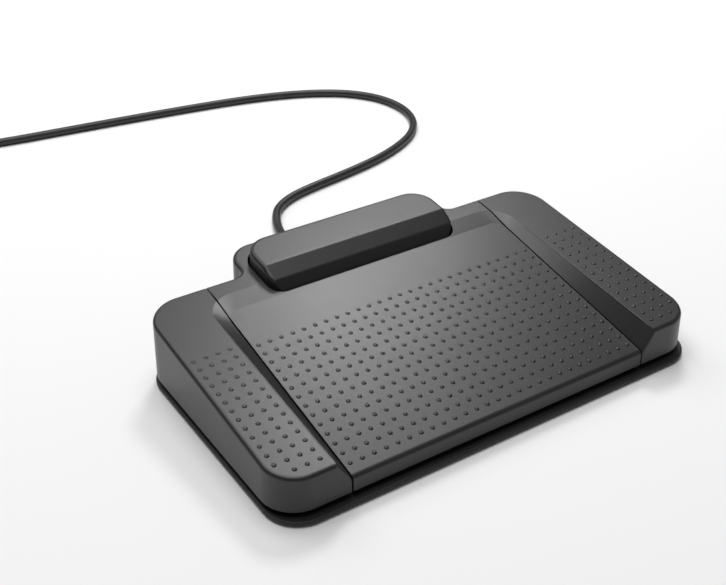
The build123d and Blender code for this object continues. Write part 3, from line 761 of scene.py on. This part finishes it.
@dataclass
class GripField:
    """Rows of small round grips moulded on a pedal's sloping top."""

    name: str
    body: str
    columns: np.ndarray
    slope: Slope
    rounded: Optional[Side] = None
    rows: int = 14
    row_pitch: float = 0.00543
    first_row: float = -0.0623
    radius: float = 0.00112
    height: float = 0.00050
    power: float = 2.4
    rings: tuple[float, ...] = (0.32, 0.66, 0.88, 1.0)
    fade: float = 0.35
    sunk: float = 0.0002
    point_depth: float = 0.0001
    sides: int = 10

    def places(self) -> np.ndarray:
        """Centres of the grips: every column by every row, less one on a rounded front corner."""
        y = self.first_row + self.row_pitch * np.arange(self.rows)
        grid = np.array(np.meshgrid(self.columns, y)).reshape(2, -1).T
        sign = self.rounded.value if self.rounded else 0
        outermost = np.isclose(grid[:, 0] * sign, np.abs(self.columns).max())
        return grid[~(outermost & np.isclose(grid[:, 1], self.first_row))]

    def build(self, material: bpy.types.Material) -> bpy.types.Object:
        """Make all grips as one mesh.

        Each grip is a cap: its height falls as 1 - (r/R)^power from the centre, on the pedal's
        slope, and it is closed by a point under the surface. Grips get a little lower from the
        front row to the rear one.

        Args:
            material: The pedal's finish.

        Returns:
            The piece.
        """
        places = self.places()
        ring = np.array(self.rings)
        lift = self.height * (1.0 - ring**self.power)
        lift[-1] = -self.sunk
        angle = np.linspace(0.0, 2 * np.pi, self.sides, endpoint=False)
        dx = (self.radius * ring[:, None] * np.cos(angle)).ravel()
        dy = (self.radius * ring[:, None] * np.sin(angle)).ravel()
        dz = np.repeat(lift, self.sides)
        dx = np.concatenate([dx, [0.0, 0.0]])
        dy = np.concatenate([dy, [0.0, 0.0]])
        dz = np.concatenate([dz, [self.height, -self.sunk - self.point_depth]])
        share = (places[:, 1:] - self.first_row) / (self.row_pitch * (self.rows - 1))
        x = places[:, :1] + dx
        y = places[:, 1:] + dy
        z = self.slope.height(y) + dz * (1.0 - self.fade * share)
        each = len(dx)
        n = self.sides
        j = np.arange(n)
        k = (j + 1) % n
        top = np.stack([np.full(n, each - 2), j, k], axis=-1)
        inner = n * np.arange(len(ring) - 1)[:, None]
        outer = inner + n
        near = np.stack([inner + j, outer + j, outer + k], axis=-1)
        far = np.stack([inner + j, outer + k, inner + k], axis=-1)
        bands = np.concatenate([near, far], axis=1).reshape(-1, 3)
        base = (len(ring) - 1) * n
        bottom = np.stack([np.full(n, each - 1), base + k, base + j], axis=-1)
        one = np.concatenate([top, bands, bottom])
        faces = (one[None, :, :] + each * np.arange(len(places))[:, None, None]).reshape(-1, 3)
        points = np.stack([x, y, z], axis=-1).reshape(-1, 3)
        piece = mesh_piece(self.name, points, faces, material)
        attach(piece, self.body)
        LOG.info(self.name)
        return piece


@dataclass
class RidgeBead:
    """The small rounding along a side pedal's inner ridge."""

    name: str
    body: str
    side: Side
    slope: Slope
    ridge_x: float = 0.08092
    start: float = 0.0030
    end: float = 0.0960
    radius: float = 0.00045
    proud: float = 0.00010
    steps: int = 60
    sides: int = 12

    def build(self, material: bpy.types.Material) -> bpy.types.Object:
        """Make the bead: a thin tube along the ridge, nearly all of it inside the pedal.

        Its height follows the pedal's plane, less its radius plus how far it stands proud. It dips
        under the surface at both ends, along a parabola.

        Args:
            material: The pedal's finish.

        Returns:
            The piece.
        """
        share = np.linspace(0.0, 1.0, self.steps)
        y = self.slope.front + self.start + (self.end - self.start) * share
        dip = np.clip(np.maximum(0.06 - share, share - 0.9) / 0.1, 0.0, 1.0) ** 2 * self.radius
        x = np.full_like(share, self.side.value * self.ridge_x)
        z = self.slope.height(y) - self.radius + self.proud - dip
        points, faces = tube_mesh(np.column_stack([x, y, z]), self.radius, self.sides)
        piece = mesh_piece(self.name, points, faces, material)
        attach(piece, self.body)
        LOG.info(self.name)
        return piece


# --------------------------------------------------------------------- control


@dataclass
class Control:
    """The control's own parts: finishes on the CAD nodes, the grips and the beads."""

    column_pitch: float = 0.0055
    centre_half_columns: int = 13
    wing_columns: int = 4
    wing_first_column: float = 0.0846
    finishes: dict[str, bpy.types.Material] = field(default_factory=dict)

    def __post_init__(self) -> None:
        """Make each finish once, by material slot."""
        makers = {
            "pedal_grey": MouldedPlastic("pedal_plastic", (0.0195, 0.0195, 0.0202), roughness=0.37),
            "base_black": MouldedPlastic("base_plastic", (0.012, 0.012, 0.013), roughness=0.55),
            "tower_black": MouldedPlastic("tower_plastic", (0.016, 0.016, 0.017), roughness=0.5),
            "foot_rubber": Rubber("foot_rubber", (0.022, 0.022, 0.022)),
            "steel_pin": Metal("ground_steel", (0.56, 0.56, 0.57), 0.22, (0.1, 1.0, 1.0)),
            "spring_steel": Metal("spring_steel", (0.42, 0.42, 0.44), 0.3),
            "screw_zinc": Metal("zinc_plate", (0.62, 0.62, 0.60), 0.32),
            "magnet_nickel": Metal("nickel_plate", (0.66, 0.64, 0.60), 0.2),
            "board_green": BoardLacquer("board_lacquer", (0.010, 0.070, 0.025)),
            "chip_black": MouldedPlastic("chip_epoxy", (0.014, 0.014, 0.014), roughness=0.6),
            "socket_white": MouldedPlastic("socket_nylon", (0.62, 0.60, 0.54), roughness=0.45),
            "lead_grey": MouldedPlastic("lead_pvc", (0.16, 0.16, 0.17), roughness=0.5),
            "cable_black": CableJacket("boot_jacket", (0.020, 0.020, 0.021)),
            "plug_black": MouldedPlastic("plug_plastic", (0.018, 0.018, 0.019), roughness=0.5),
            "plug_steel": Metal("plug_shell_steel", (0.60, 0.60, 0.60), 0.25),
        }
        self.finishes = {slot: maker.material() for slot, maker in makers.items()}

    def dress(self) -> None:
        """Give every CAD node the finish of its slot."""
        for title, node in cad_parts.items():
            held = [slot.name for slot in node.material_slots]
            known = [slot for slot in self.finishes if any(slot in name for name in held)]
            chosen = known[0] if known else "base_black"
            node.data.materials.clear()
            node.data.materials.append(self.finishes[chosen])
            LOG.info("%s: %s", title, chosen)

    def grips(self) -> None:
        """Grips on the centre and side pedals."""
        grey = self.finishes["pedal_grey"]
        half = self.centre_half_columns
        centre = self.column_pitch * np.arange(-half, half + 1)
        outer = self.wing_first_column + self.column_pitch * np.arange(self.wing_columns)
        fields = (
            GripField("centre_grips", "centre_pedal", centre, PAD_SLOPE),
            GripField("left_grips", "left_pedal", -outer, WING_SLOPE, Side.LEFT),
            GripField("right_grips", "right_pedal", outer, WING_SLOPE, Side.RIGHT),
        )
        for grips in fields:
            grips.build(grey)

    def beads(self) -> None:
        """Beads on the side pedals' ridges."""
        grey = self.finishes["pedal_grey"]
        RidgeBead("left_ridge_bead", "left_pedal", Side.LEFT, WING_SLOPE).build(grey)
        RidgeBead("right_ridge_bead", "right_pedal", Side.RIGHT, WING_SLOPE).build(grey)

    def build(self) -> None:
        """Dress the parts and add the grips and beads."""
        self.dress()
        self.grips()
        self.beads()


def main() -> None:
    """Build the scene in order: camera and cable first."""
    Studio().build()
    Cable().build()
    Control().build()


if __name__ == "__main__":
    main()
